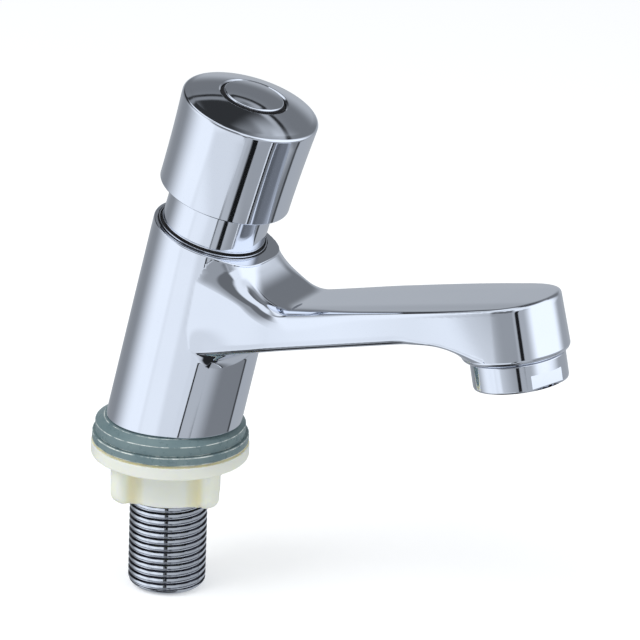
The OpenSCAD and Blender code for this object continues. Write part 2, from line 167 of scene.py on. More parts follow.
def outline(corners, closed=True, steps=7):
    """Segments (p0, p1, n0, n1, is_round) of a profile in (r, z). A corner is (r, z), sharp, or
    (r, z, radius), rounded, or (r, z, None), a point of a smooth curve. The profile runs upwards on the
    outside, so the normal is on the right."""
    pts = [np.array(c[:2], float) for c in corners]
    radii = [c[2] if len(c) > 2 else 0.0 for c in corners]
    n = len(pts)
    come, go = list(pts), list(pts)
    curved, arcs = [None] * n, [[] for _ in pts]
    for i in range(n):
        first = not closed and i == 0
        last = not closed and i == n - 1
        d0 = unit(pts[1] - pts[0]) if first else unit(pts[i] - pts[i - 1])
        d1 = d0 if last else unit(pts[(i + 1) % n] - pts[i])
        if radii[i] is None:
            curved[i] = unit(right_of(d0) + right_of(d1))
        elif radii[i] > 0 and not first and not last:
            arcs[i] = corner_arc(pts[i], d0, d1, radii[i], steps)
        if arcs[i]:
            come[i], go[i] = arcs[i][0][0], arcs[i][-1][1]
    segments = []
    for i in range(n if closed else n - 1):
        j = (i + 1) % n
        gap = come[j] - go[i]
        if np.linalg.norm(gap) > 1e-7:
            flat = right_of(unit(gap))
            n0 = flat if curved[i] is None else curved[i]
            n1 = flat if curved[j] is None else curved[j]
            segments.append((go[i], come[j], n0, n1, 0.0))
        segments += arcs[j]
    return segments


def lathe(shell, segments, turns=144, origin=ORIGIN, axes=LEVEL, wobble=None):
    """Turns a profile about the frame's Z. The wobble is a rule that adds to the radius."""
    angle = around(turns)
    c, s = np.cos(angle), np.sin(angle)
    j = np.arange(turns)
    k = (j + 1) % turns
    for p0, p1, n0, n1, mark in segments:
        rings, tops = [], []
        for p, normal in ((p0, n0), (p1, n1)):
            r = p[0] + (wobble(angle, p[0], p[1]) if wobble is not None and p[0] > ON_AXIS else 0.0)
            rings.append(np.stack([r * c, r * s, np.full(turns, p[1])], 1))
            tops.append(np.stack([normal[0] * c, normal[0] * s, np.full(turns, normal[1])], 1))
        if p0[0] < ON_AXIS or p1[0] < ON_AXIS:
            wide = 1 if p0[0] < ON_AXIS else 0
            points = np.concatenate([rings[wide], rings[1 - wide][:1]])
            tip = np.full(turns, turns)
            faces = np.stack([tip, k, j] if wide else [j, k, tip], 1)
            own, other = tops[wide], tops[1 - wide]
            normals = np.stack([other, own[k], own[j]] if wide else [own[j], own[k], other], 1)
        else:
            points = np.concatenate(rings)
            faces = np.stack([j, k, turns + k, turns + j], 1)
            normals = np.stack([tops[0][j], tops[0][k], tops[1][k], tops[1][j]], 1)
        shell.add(points, faces.tolist(), normals, mark, origin, axes)


def tube(shell, path, radius, sides, origin=ORIGIN, axes=LEVEL):
    """A round wire along a path, closed at both ends."""
    along = np.gradient(path, axis=0)
    along /= np.linalg.norm(along, axis=1, keepdims=True)
    side = np.cross(along, [0, 0, 1])
    side /= np.linalg.norm(side, axis=1, keepdims=True)
    up = np.cross(side, along)
    out = np.stack([math.cos(b) * side + math.sin(b) * up for b in around(sides)], 1)
    points = (path[:, None] + radius * out).reshape(-1, 3)
    ids = np.arange(len(points)).reshape(len(path), sides)
    turned = np.roll(ids, -1, 1)
    walls = np.stack([ids[:-1], ids[1:], turned[1:], turned[:-1]], -1).reshape(-1, 4)
    shell.add(points, walls.tolist(), out.reshape(-1, 3)[walls.ravel()], 0.0, origin, axes)
    for ring, way in ((ids[0], -along[0]), (ids[-1][::-1], along[-1])):
        shell.add(points[ring], [list(range(sides))], np.tile(way, (sides, 1)), 0.0, origin, axes)


# implicit shapes: negative inside, in millimetres

def smooth(x, lo, hi):
    t = np.clip((x - lo) / (hi - lo), 0, 1)
    return t * t * (3 - 2 * t)


def both(a, b, r):
    """Where a and b are both solid, with the edge between them rounded by r."""
    return np.minimum(-r, np.maximum(a, b)) + np.hypot(np.maximum(r + a, 0), np.maximum(r + b, 0))


def either(a, b, r):
    """Where a or b is solid, with a hollow round of radius r between them."""
    a, b = a / r, b / r
    return r * (np.maximum(1, np.minimum(a, b)) - np.hypot(np.maximum(1 - a, 0), np.maximum(1 - b, 0)))


def eased(a, b, r):
    """Like both, with an edge whose bend grows and fades gradually."""
    bend = np.cbrt(np.maximum(r + a, 0) ** 3 + np.maximum(r + b, 0) ** 3)
    return np.minimum(-r, np.maximum(a, b)) + bend


def blend(a, b, c, reach):
    """Where a or b is solid, with a hollow round between faces whose normals have the cosine c."""
    u, v = 1 - a / reach, 1 - b / reach
    arc = 1 - np.sqrt(np.maximum(u * u + v * v - 2 * c * u * v, 0) / (1 - c * c))
    return reach * np.where((u > c * v) & (v > c * u) & (u > 0) & (v > 0), arc, 1 - np.maximum(u, v))


def gradient(f, p, step=0.02):
    g = np.empty_like(p)
    for i in range(3):
        d = np.zeros(3)
        d[i] = step
        g[:, i] = (f(p + d) - f(p - d)) / (2 * step)
    return g


def settle(f, p, rounds=6, limit=0.3):
    """Moves points on to the surface."""
    for _ in range(rounds):
        g = gradient(f, p)
        move = -(f(p) / np.maximum((g * g).sum(1), 1e-9))[:, None] * g
        size = np.linalg.norm(move, axis=1, keepdims=True)
        p = p + move * np.minimum(1, limit / np.maximum(size, 1e-9))
    return p


def cell_points(value, where):
    """In each crossed cell, the middle of the spots where its edges cross the surface, in grid steps."""
    spot, hits = np.zeros((len(where), 3)), np.zeros(len(where))
    for a in np.ndindex(2, 2, 2):
        for axis in range(3):
            if a[axis]:
                continue
            b = list(a)
            b[axis] = 1
            ia, ib = where + np.array(a), where + np.array(b)
            va, vb = value[tuple(ia.T)], value[tuple(ib.T)]
            cut = (va < 0) != (vb < 0)
            t = np.where(cut, va / np.where(cut, va - vb, 1), 0)
            spot += cut[:, None] * (ia + t[:, None] * (ib - ia))
            hits += cut
    return spot / hits[:, None]


def cell_faces(inside, index):
    """A four-sided face round each grid edge that crosses the surface."""
    count = np.array(inside.shape)
    faces = []
    for axis in range(3):
        u, v = (axis + 1) % 3, (axis + 2) % 3
        onward = np.zeros(3, int)
        onward[axis] = 1
        shape = count - onward
        first = inside[:shape[0], :shape[1], :shape[2]]
        second = inside[onward[0]:, onward[1]:, onward[2]:]
        for flip, crossed in ((False, first & ~second), (True, ~first & second)):
            at = np.argwhere(crossed)
            at = at[(at[:, u] > 0) & (at[:, v] > 0) & (at[:, u] < count[u] - 1) & (at[:, v] < count[v] - 1)]
            quad = []
            for du, dv in ((-1, -1), (0, -1), (0, 0), (-1, 0)):
                cell = at.copy()
                cell[:, u] += du
                cell[:, v] += dv
                quad.append(index[tuple(cell.T)])
            quad = np.stack(quad, 1)
            faces.append(quad[:, ::-1] if flip else quad)
    return np.concatenate(faces)


def net(f, low, high, step):
    """Points and four-sided faces on the surface of an implicit shape."""
    low, high = np.array(low, float), np.array(high, float)
    count = np.ceil((high - low) / step).astype(int) + 1
    axes = [low[i] + step * np.arange(count[i]) for i in range(3)]
    grid = np.stack(np.meshgrid(*axes, indexing="ij"), -1)
    value = f(grid.reshape(-1, 3)).reshape(count)
    inside = value < 0
    cells = tuple(count - 1)
    total = np.zeros(cells, int)
    for i, j, k in np.ndindex(2, 2, 2):
        total += inside[i:i + cells[0], j:j + cells[1], k:k + cells[2]]
    crossed = (total > 0) & (total < 8)
    index = np.full(cells, -1)
    index[crossed] = np.arange(crossed.sum())
    points = low + step * cell_points(value, np.argwhere(crossed))
    return settle(f, points), cell_faces(inside, index)


# the body: a leaning barrel that swells towards the spout, and a flat spout that ends in a round boss
# the barrel's lean, and its front circle: how far ahead and how much smaller, at the base and more at the rim
LEAN_COS = 0.9793
SWELL, SWELL_UP, SLIM, SLIM_UP = 3.2, 2.8, 1.1, 0.8
# the barrel's axis in the outlet's frame
AXIS_X, AXIS_Z, AXIS_TAN, AXIS_COS = -104.96, -16.67, 0.445, 0.913
# where the spout's flanks begin to draw in, and by how much they have widened there
BOW_X, BOW_W, BOSS_SLACK = -20.0, 0.8, 0.07
# hollow rounds between spout and barrel, and the limits of the cosine between their faces
SIDE_ROUND, TOP_ROUND, JOINED_TO = 26.0, 11.0, 30
COS_LOW, COS_HIGH = -0.5, 0.9995


def egg(u, v, r1, gap, less):
    """Section of two circles, the second of a smaller radius and set forward, with straight flanks between
    them: the distance to it and how far its face turns to the side."""
    drop = less / gap
    run = np.sqrt(1 - drop * drop)
    k = -drop * v + run * u
    behind, beyond = k < 0, k > run * gap
    back, front = np.hypot(u, v), np.hypot(u - gap, v)
    far = np.where(behind, back - r1, np.where(beyond, front - r1 + less, run * v + drop * u - r1))
    round_side = np.where(beyond, v / np.maximum(front, 1e-6), run)
    return far, np.where(behind, v / np.maximum(back, 1e-6), round_side)


def barrel_section(p):
    t = (p[:, 2] - GASKET_T) / (RIM[2] - GASKET_T)
    above_outlet = (p - OUT) @ OUT_R[:, 2]
    r1 = BASE_R + (RIM_R - BASE_R) * t
    u, v = (p[:, 0] - RIM[0] * t) * LEAN_COS, np.abs(p[:, 1])
    fade = np.maximum(1 - smooth(above_outlet, 1.5, 12.0), 1e-4)
    return egg(u, v, r1, (SWELL + SWELL_UP * t) * LEAN_COS * fade, (SLIM + SLIM_UP * t) * fade)


def barrel(p):
    return barrel_section(p)[0]


def ahead(x, z):
    """How far a point of the outlet's frame lies in front of the barrel's axis."""
    return AXIS_COS * (x - AXIS_X - AXIS_TAN * (z - AXIS_Z))


def plan(q):
    """The spout seen from above: straight flanks, a long arc that draws in, and the round boss."""
    x, y, z = q[:, 0], np.abs(q[:, 1]), q[:, 2]
    boss = BOSS_R - BOSS_SLACK + (SPOUT_W - BOSS_R) * np.clip((z - 0.8) / (BOSS_H - 3.0), 0, 1.1)
    widest = SPOUT_W + BOW_W
    arc = (BOW_X ** 2 / (widest - boss) + widest + boss) / 2
    drop = arc - widest
    straight = y - SPOUT_W - BOW_W * smooth(x, -62, BOW_X)
    bowed = np.hypot(x - BOW_X, y + drop) - arc
    round_end = np.hypot(x, y) - boss
    front = np.where((x - BOW_X) * drop > -BOW_X * (y + drop), round_end, bowed)
    return np.where(x < BOW_X, straight, front)


def spout_flank(p, q):
    """The spout's sides, run into the barrel with a wide hollow round that ends inside it."""
    front = ahead(q[:, 0], q[:, 2])
    wall, side = barrel_section(p)
    buried = 0.3 * np.maximum(4.5 - front, 0) ** 2
    joined = blend(wall, plan(q), np.clip(side, COS_LOW, COS_HIGH), SIDE_ROUND) + buried
    return np.where(front < JOINED_TO, joined, plan(q))


def spout_top(q):
    """The spout's upper face, a little crowned, and the ramp where it meets the barrel."""
    x, y, z = q[:, 0], q[:, 1], q[:, 2]
    high = BOSS_H - 0.1 - 0.006 * np.maximum(-x, 0) - 0.25 * smooth(np.abs(y), 6.0, 13.5)
    ramp = (x - RAMP_X) * math.cos(RAMP) + (z - high) * math.sin(RAMP)
    return blend(ramp, z - high, math.sin(RAMP), TOP_ROUND)


def spout_underside(q):
    """The tapering underside, which flares out to the boss."""
    x, z = q[:, 0], q[:, 2]
    under = UNDER_Z - np.maximum(-24 - x, 0) * TAPER - z
    rho = np.hypot(x, q[:, 1])
    flare = FLARE - np.hypot(np.minimum(rho - FLARE_R, 0), z - (UNDER_Z - FLARE))
    return np.where(rho < FLARE_R, flare, under)


def spout(p):
    q = (p - OUT) @ OUT_R
    x, z = q[:, 0], q[:, 2]
    crisp = 1.4 + 0.9 * smooth(-x, 10, 40) + 3.4 * smooth(-x, 34, 60) + 9.0 * smooth(z, 16, 25)
    body = eased(spout_flank(p, q), spout_top(q), crisp)
    low = spout_underside(q)
    soft = 3.2 - 2.2 * smooth(x, -27, -16)
    body = np.where(x < -2.0, eased(body, low, soft), np.maximum(body, np.where(x < 0, low, -9.0)))
    return np.maximum(body, -3.0 - z)


def tap(p):
    """Barrel and spout with a hollow round between them, measured by the angle at which their faces meet."""
    a, b = barrel(p), spout(p)
    far = np.minimum(a, b)
    near = (far > -1) & (far < 8)
    spots = p[near]
    c = np.clip((gradient(barrel, spots) * gradient(spout, spots)).sum(1), COS_LOW, COS_HIGH)
    q = (spots - OUT) @ OUT_R
    front, high = ahead(q[:, 0], q[:, 2]), smooth(q[:, 2], 6.0, BOSS_H - 1.0)
    reach = 0.3 + 7.0 * smooth(front, 6.0, 19.0) * (1 - high) + 11.0 * smooth(front, 5.0, 11.0) * high
    far[near] = blend(a[near], b[near], c, reach)
    return far


def trimmed(points, faces, cuts, reach=27):
    """Cuts a mesh by planes (point, outward normal) and gives each cut's rim in order round its middle."""
    bm = bmesh.new()
    verts = [bm.verts.new(p) for p in points]
    for f in faces:
        bm.faces.new([verts[i] for i in f])
    for spot, out in cuts:
        near = [f for f in bm.faces if (f.calc_center_median() - Vector(spot)).length < reach]
        geom = list({v for f in near for v in f.verts}) + list({e for f in near for e in f.edges}) + near
        bmesh.ops.bisect_plane(bm, geom=geom, dist=0.02, plane_co=spot, plane_no=out, clear_outer=True)
    bm.verts.index_update()
    pts = np.array([v.co[:] for v in bm.verts])
    quads = [[v.index for v in f.verts] for f in bm.faces]
    rims = []
    for spot, out in cuts:
        out = unit(np.array(out, float))
        on = sorted({v.index for e in bm.edges if e.is_boundary for v in e.verts
                     if abs((np.array(v.co[:]) - spot) @ out) < 0.05})
        across = unit(np.cross([0, 1, 0], out))
        rel = pts[on] - pts[on].mean(0)
        order = np.argsort(np.arctan2(rel @ np.cross(out, across), rel @ across))
        rims.append([on[i] for i in order])
    bm.free()
    return pts, quads, rims


def fixed(r):
    """A rule for carry: a ring of one radius."""
    return lambda old: np.full_like(old, r)


def inset(d):
    """A rule for carry: a ring inside the rim."""
    return lambda old: old - d


def carry(shell, rim, steps, origin, axes):
    """Carries a rim of points on through rings, in a frame with Z outwards. A step has the rule for the
    ring's radius, its z, and the normal (r, z) at its start and at its end."""
    n = len(rim)
    angle = np.arctan2(rim[:, 1], rim[:, 0])
    c, s = np.cos(angle), np.sin(angle)
    j = np.arange(n)
    k = (j + 1) % n
    faces = np.stack([j, k, n + k, n + j], 1).tolist()
    radius = np.hypot(rim[:, 0], rim[:, 1])
    even = np.mean([np.roll(radius, m) for m in range(-3, 4)], axis=0)
    last = rim
    for rule, z, r0, z0, r1, z1 in steps:
        r = rule(even)
        ring = np.stack([r * c, r * s, np.full(n, z)], 1)
        start = np.stack([r0 * c, r0 * s, np.full(n, z0)], 1)
        end = np.stack([r1 * c, r1 * s, np.full(n, z1)], 1)
        normals = np.stack([start[j], start[k], end[k], end[j]], 1)
        shell.add(np.concatenate([last, ring]), faces, normals, 0.0, origin, axes)
        last = ring


# materials

def bare_tree(owner, output):
    """The emptied node tree of a material or world, and its output's first socket."""
    owner.use_nodes = True
    tree = owner.node_tree
    tree.nodes.clear()
    return tree, tree.nodes.new(output).inputs[0]


def material(name):
    mat = bpy.data.materials.new(name)
    tree, surface = bare_tree(mat, "ShaderNodeOutputMaterial")
    shader = tree.nodes.new("ShaderNodeBsdfPrincipled")
    tree.links.new(shader.outputs[0], surface)
    return mat, tree, shader


def node(tree, kind, links=(), **values):
    """A node with its settings and socket values by name, an underscore for a space, and links into it."""
    made = tree.nodes.new(kind)
    for key, value in values.items():
        if hasattr(made, key):
            setattr(made, key, value)
        else:
            made.inputs[key.replace("_", " ")].default_value = value
    for socket, source in links:
        tree.links.new(source, made.inputs[socket])
    return made


def maths(tree, operation, *values):
    """A Math node on sockets and numbers, in the order of its inputs."""
    made = node(tree, "ShaderNodeMath", operation=operation)
    for socket, value in zip(made.inputs, values):
        if isinstance(value, (int, float)):
            socket.default_value = value
        else:
            tree.links.new(value, socket)
    return made.outputs[0]


def noise(tree, coord, scale, detail=3.0, rough=0.55):
    made = node(tree, "ShaderNodeTexNoise", [("Vector", coord)], Scale=scale, Detail=detail, Roughness=rough)
    return made.outputs["Fac"]


def spread(tree, value, a, b, lo=0.3, hi=0.7, kind="LINEAR"):
    """Maps lo to a and hi to b."""
    made = node(tree, "ShaderNodeMapRange", [("Value", value)], interpolation_type=kind,
                From_Min=lo, From_Max=hi, To_Min=a, To_Max=b)
    return made.outputs["Result"]


def mixed(tree, factor, a, b, label=""):
    """The colour a where the factor is 0 and b where it is 1. Either is a colour or a socket."""
    made = node(tree, "ShaderNodeMix", [("Factor", factor)], data_type="RGBA", label=label)
    for socket, colour in zip([s for s in made.inputs if s.type == "RGBA"], (a, b)):
        if isinstance(colour, tuple):
            socket.default_value = (*colour, 1)
        else:
            tree.links.new(colour, socket)
    return [s for s in made.outputs if s.type == "RGBA"][0]


def dented(tree, shader, height, distance):
    made = node(tree, "ShaderNodeBump", [("Height", height)], Strength=1.0, Distance=distance)
    tree.links.new(made.outputs[0], shader.inputs["Normal"])


def edge_mark(tree):
    return node(tree, "ShaderNodeAttribute", attribute_name="edge").outputs["Fac"]


def metal(name, a, b, rough, grain, scale, dark_band=None):
    """Metal between two colours, with a dark colour painted as shade on marked faces."""
    mat, tree, shader = material(name)
    coord = node(tree, "ShaderNodeTexCoord").outputs["Object"]
    colour = mixed(tree, noise(tree, coord, scale), a, b)
    if dark_band is not None:
        colour = mixed(tree, edge_mark(tree), colour, dark_band)
    tree.links.new(colour, shader.inputs["Base Color"])
    shader.inputs["Metallic"].default_value = 1.0
    fine = noise(tree, coord, scale * 3.3, 5.0, 0.65)
    tree.links.new(spread(tree, fine, *rough), shader.inputs["Roughness"])
    dented(tree, shader, noise(tree, coord, scale * 9, 2.0), grain)
    return mat


def plastic(name, a, b, rough, dent, scale, edge=None, patches=(0.42, 0.60), glow=None):
    """Rubber or plastic between two colours, with patches of another colour on marked faces: rounded edges,
    and on the nut the seat and nooks, where this colour is painted shade. The glow is the weight, radius and
    scale of the light that goes under the surface."""
    mat, tree, shader = material(name)
    coord = node(tree, "ShaderNodeTexCoord").outputs["Object"]
    colour = mixed(tree, spread(tree, noise(tree, coord, scale), 0.0, 1.0), a, b)
    if edge is not None:
        patchy = spread(tree, noise(tree, coord, 330.0, 4.0, 0.7), 0.0, 1.0, *patches)
        colour = mixed(tree, maths(tree, "MULTIPLY", edge_mark(tree), patchy), colour, edge)
    tree.links.new(colour, shader.inputs["Base Color"])
    fine = noise(tree, coord, scale * 4, 4.0)
    tree.links.new(spread(tree, fine, *rough), shader.inputs["Roughness"])
    if glow is not None:
        for socket, value in zip(("Weight", "Radius", "Scale"), glow):
            shader.inputs["Subsurface " + socket].default_value = value
    dented(tree, shader, noise(tree, coord, scale * 7, 3.0), dent)
    return mat


chrome = metal("chrome_plate", (0.79, 0.825, 0.90), (0.83, 0.86, 0.925), (0.035, 0.06), 0.0000015, 70.0)
# the thread plate's dark colour is painted shade, laid on the marked upper flanks of the thread
thread_chrome = metal("thread_plate", (0.74, 0.77, 0.84), (0.82, 0.85, 0.91), (0.035, 0.075), 0.000002, 120.0,
                      dark_band=(0.02, 0.022, 0.03))
steel = metal("turned_steel", (0.60, 0.61, 0.63), (0.70, 0.71, 0.73), (0.16, 0.30), 0.000008, 160.0)
brass = metal("machined_brass", (0.74, 0.56, 0.25), (0.82, 0.66, 0.34), (0.14, 0.28), 0.000006, 150.0)
rubber = plastic("gasket_rubber", (0.135, 0.205, 0.225), (0.185, 0.26, 0.27), (0.24, 0.40), 0.000004, 160.0,
                 edge=(0.74, 0.80, 0.77))
seal = plastic("black_seal", (0.012, 0.012, 0.014), (0.03, 0.03, 0.033), (0.45, 0.65), 0.00003, 220.0)
# the nut's yellow marked colour is painted shade, for the seat under the washer and the nooks between wings
# and hub
ivory = plastic("nut_nylon", (0.83, 0.855, 0.77), (0.87, 0.895, 0.82), (0.28, 0.42), 0.00002, 90.0,
                edge=(0.84, 0.79, 0.52), patches=(0.05, 0.45), glow=(0.6, (1.0, 0.9, 0.45), 0.004))
acetal = plastic("inner_acetal", (0.70, 0.70, 0.64), (0.78, 0.78, 0.72), (0.35, 0.5), 0.00002, 150.0)
finish = {"chrome": chrome, "brass": brass, "steel": steel, "gasket": rubber, "seal": seal,
          "nut_plastic": ivory, "inner_plastic": acetal}

for sub in frame["record"]["subparts"]:
    slots = frame["nodes"][sub["node"]].data.materials
    slots.clear()
    slots.append(finish[sub["material_slot"]])

# tap body: the walls, cut off near the rim, the base and the outlet, where turned ends take over
points, quads = net(tap, (-18, -18, 1.5), (114, 18, 63), 0.5)
rim_cut = (RIM + HEAD_R[:, 2] * -0.55, HEAD_R[:, 2])
base_cut = (np.array([0.0, 0.0, GASKET_T + 0.45]), (0, 0, -1))
outlet_cut = (OUT + OUT_R[:, 2] * 1.25, -OUT_R[:, 2])
points, quads, rims = trimmed(points, quads, [rim_cut, base_cut, outlet_cut])
body = Shell()
slope = gradient(tap, points)
slope /= np.linalg.norm(slope, axis=1, keepdims=True)
body.add(points, quads, slope[np.concatenate([np.array(f) for f in quads])])

# the body's rim, with the neck's bore
carry(body, (points[rims[0]] - RIM) @ HEAD_R, [
    (inset(0.02), -0.32, 1, 0, 1, 0),
    (inset(0.11), -0.10, 0.98, 0.2, DIAGONAL, DIAGONAL),
    (inset(0.32), 0.0, DIAGONAL, DIAGONAL, 0, 1),
    (fixed(14.55), -0.03, 0, 1, 0, 1),
    (fixed(14.5), -0.5, -1, 0, -1, 0),
    (fixed(11.0), -0.5, 0, 1, 0, 1),
    (fixed(11.0), -20.0, -1, 0, -1, 0)], RIM, HEAD_R)

# the body's base, with the shank's bore
base = points[rims[1]]
middle = np.array([base[:, 0].mean(), 0.0, 0.0])
carry(body, (base - middle) @ UPSIDE_DOWN, [
    (inset(0.08), -GASKET_T - 0.2, 1, 0, 0.8, 0.6),
    (inset(0.40), -GASKET_T, 0.6, 0.8, 0, 1),
    (fixed(8.7), -GASKET_T, 0, 1, 0, 1),
    (fixed(8.7), -GASKET_T - 6.0, -1, 0, -1, 0)], middle, UPSIDE_DOWN)

# the boss's lower edge, with the aerator's bore
down = OUT_R @ UPSIDE_DOWN
carry(body, (points[rims[2]] - OUT) @ down, [
    (inset(0.10), -0.85, 1, 0, 0.96, 0.28),
    (inset(0.34), -0.42, 0.96, 0.28, 0.75, 0.66),
    (inset(0.72), -0.10, 0.75, 0.66, 0.36, 0.93),
    (fixed(12.25), 0.0, 0.36, 0.93, 0, 1),
    (fixed(11.1), 0.0, 0, 1, 0, 1),
    (fixed(11.0), -0.2, -0.7, 0.7, -0.7, 0.7),
    (fixed(11.0), -6.9, -1, 0, -1, 0),
    (fixed(2.0), -6.9, 0, 1, 0, 1)], OUT, down)
body.make("body_shell", "tap", "chrome", chrome, "tap_body")


# push button: a waisted shell with a domed top and a recess
def arc_radius(half_width, rise):
    return (half_width ** 2 + rise ** 2) / (2 * rise)


def arch(r, apex, radius):
    """Height of a round top at the distance r from its axis."""
    return apex - radius + math.sqrt(radius ** 2 - r * r)


def dome(r):
    return arch(r, CAP_Z + CAP_H + DOME_H - 0.005, arc_radius(CAP_TOP, DOME_H))


WAIST, LIP_W = 0.16, 0.62
recess = dome(INDEX_R) - 1.9
foot = [(CAP_IN, CEILING, 0.4), (CAP_IN, CAP_Z, 0.25), (CAP_LOW, CAP_Z, 0.35)]
side = []
for t in np.arange(1, 24) / 24:
    r = CAP_LOW + (CAP_TOP - CAP_LOW) * t - WAIST * 4 * t * (1 - t)
    side.append((r, CAP_Z + 0.1 + (CAP_H - 0.9) * t, None))
shoulder = [(CAP_TOP, dome(CAP_TOP - 0.3) + 0.04, 0.85)]
crown = [(r, dome(r), None) for r in np.linspace(16.2, INDEX_R + 1.1, 22)]
lip = [(INDEX_R + LIP_W, dome(INDEX_R + LIP_W), 0.3), (INDEX_R + 0.1, dome(INDEX_R) - 0.45, 0.1)]
pocket = [(INDEX_R, recess, 0.1), (2.2, recess), (2.2, CEILING)]
cap = Shell()
lathe(cap, outline(foot + side + shoulder + crown + lip + pocket), 160, RIM, HEAD_R)
cap.make("cap_shell", "button", "chrome", chrome, "push_cap")

# domed disc in the recess
disc_r, bulge = INDEX_R - 0.75, 0.845
disc_rim = recess + 2.15
disc_apex, disc_arc = disc_rim + bulge, arc_radius(disc_r, bulge)
disc_side = [(0, recess), (disc_r, recess, 0.1), (disc_r, arch(disc_r, disc_apex, disc_arc) + 0.02, 0.45)]
disc_top = [(r, arch(r, disc_apex, disc_arc), None) for r in np.linspace(disc_r - 0.8, 0.001, 20)]
disc = Shell()
lathe(disc, outline(disc_side + disc_top + [(0, disc_apex)], closed=False), 144, RIM, HEAD_R)
disc.make("index_button", "button", "chrome", chrome, "index_disc")

# black ring in the groove round the disc
dark_band = Shell()
lathe(dark_band, outline([(disc_r + 0.02, recess + 0.02), (INDEX_R - 0.02, recess + 0.02),
                       (INDEX_R - 0.02, recess + 1.0, 0.1), (disc_r + 0.2, recess + 1.05, 0.1),
                       (disc_r + 0.1, disc_rim - 0.32, 0.05), (disc_r + 0.02, disc_rim - 0.30)]),
      144, RIM, HEAD_R)
dark_band.make("groove_ring", "button", "seal", seal)

# neck, with a black seal under its foot, spread over the rim groove's floor as painted shade, and a thin
# bright band round it
neck = Shell()
lathe(neck, outline([(4.5, -6.0), (10.9, -6.0, 0.3), (10.9, 0.95), (NECK_R + 0.1, 0.95),
                     (NECK_R + 0.1, 1.2, 0.12), (NECK_R - 0.14, 1.24), (NECK_R - 0.14, 1.42), (NECK_R, 1.46),
                     (NECK_R, NECK_TOP, 0.6), (9.2, NECK_TOP, 0.2), (9.2, 7.5), (6.0, 7.5), (6.0, -2.3),
                     (4.5, -2.3)]),
      144, RIM, HEAD_R)
neck.make("neck_sleeve", "tap", "chrome", chrome, "bonnet")
# the seal under the neck is real; its wide part, which lines the groove's floor, is a black sheet laid where
# the groove's shade falls
seal_and_groove_shade = Shell()
lathe(seal_and_groove_shade, outline([(11.2, -0.45), (14.45, -0.45), (14.45, -0.22, 0.05), (13.5, -0.2),
                        (NECK_R - 0.18, 0.0, 0.1), (NECK_R - 0.15, 0.93, 0.05), (11.2, 0.93)]),
      120, RIM, HEAD_R)
seal_and_groove_shade.make("seal_ring_and_groove_shade", "tap", "seal", seal, "rim_seal")
band = Shell()
lathe(band, outline([(13.93, -0.18), (14.2, -0.18), (14.2, 0.4, 0.1), (13.93, 0.4, 0.12)]), 144, RIM, HEAD_R)
band.make("trim_band", "tap", "chrome", chrome, "trim_ring")

# return spring, at full length up to the button's ceiling; in use it shortens as the button goes down
spring = Shell()
t = np.linspace(0, 1, 24 * SPRING_TURNS + 1)
wind = 2 * math.pi * SPRING_TURNS * t
rise = SPRING_LOW + SPRING_WIRE / 2 + (CEILING - SPRING_LOW - SPRING_WIRE - 0.04) * t
helix = np.stack([SPRING_R * np.cos(wind), SPRING_R * np.sin(wind), rise + 0.02], 1)
tube(spring, helix, SPRING_WIRE / 2, 10, RIM, HEAD_R)
coil = spring.make("spring_coil", "tap", "steel", steel, "return_spring")
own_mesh(coil)

# outlet ring with two spanner flats, its wall in rows (inset, z, normal r, normal z)
BEVEL = 0.6
flat = AER_R - FLAT_DEEP
half = math.acos(flat / AER_R)
ledge_row = (0.0, -AER_H + FLAT_H, 1.0, 0.0)
bottom_row = (BEVEL, -AER_H, 0.0, -1.0)
bevel_rows = [(0.0, -AER_H + 0.62, 1.0, 0.0), (0.15, -AER_H + 0.15, DIAGONAL, -DIAGONAL)]
wall_rows = [ledge_row] + bevel_rows + [bottom_row]


def ring_point(angle, on, row):
    """A point of the ring's wall, on the flat that faces the angle on, or on the round."""
    r = (AER_R if on is None else flat / math.cos(angle - on)) - row[0]
    return [r * math.cos(angle), r * math.sin(angle), row[1]]


def ring_normal(angle, row):
    return [row[2] * math.cos(angle), row[2] * math.sin(angle), row[3]]


def facet(shell, corners, normals):
    shell.add(corners, [[0, 1, 2, 3]], normals, 0.0, OUT, OUT_R)


ring = Shell()
lathe(ring, outline([(AER_R, -AER_H + FLAT_H), (AER_R, -0.35, 0.4), (10.9, -0.35), (10.9, 6.0, 0.3),
                     (9.2, 6.0, 0.3), (9.2, -AER_H + 2.2), (9.9, -AER_H + 2.2), (9.9, -AER_H, 0.25),
                     (AER_R - BEVEL, -AER_H)], closed=False), 144, OUT, OUT_R)
flats = [math.radians(FLAT_TURN + a) for a in (90, 270)]
flat_ends = [f + s * half for f in flats for s in (-1, 1)]
spins = sorted({round(a % (2 * math.pi), 9) for a in [*around(144), *flat_ends]})
for a, b in zip(spins, spins[1:] + [spins[0] + 2 * math.pi]):
    on = next((f for f in flats if math.cos((a + b) / 2 - f) > math.cos(half)), None)
    face_a, face_b = (a, b) if on is None else (on, on)
    for high, low in zip(wall_rows[:-1], wall_rows[1:]):
        facet(ring, [ring_point(a, on, low), ring_point(b, on, low), ring_point(b, on, high),
                     ring_point(a, on, high)],
              [ring_normal(face_a, low), ring_normal(face_b, low), ring_normal(face_b, high),
               ring_normal(face_a, high)])
    if on is None:
        continue
    for first, second, row in ((None, on, bottom_row), (on, None, ledge_row)):
        facet(ring, [ring_point(a, first, row), ring_point(b, first, row), ring_point(b, second, row),
                     ring_point(a, second, row)], [[0, 0, -1]] * 4)
ring.make("outlet_ring", "tap", "chrome", chrome, "aerator_housing")

# woven screen in the outlet
SCREEN_R, SCREEN_Z, WIRE_R, WEAVE, WIRE_SIDES = 9.65, -5.5, 0.17, 0.95, 6


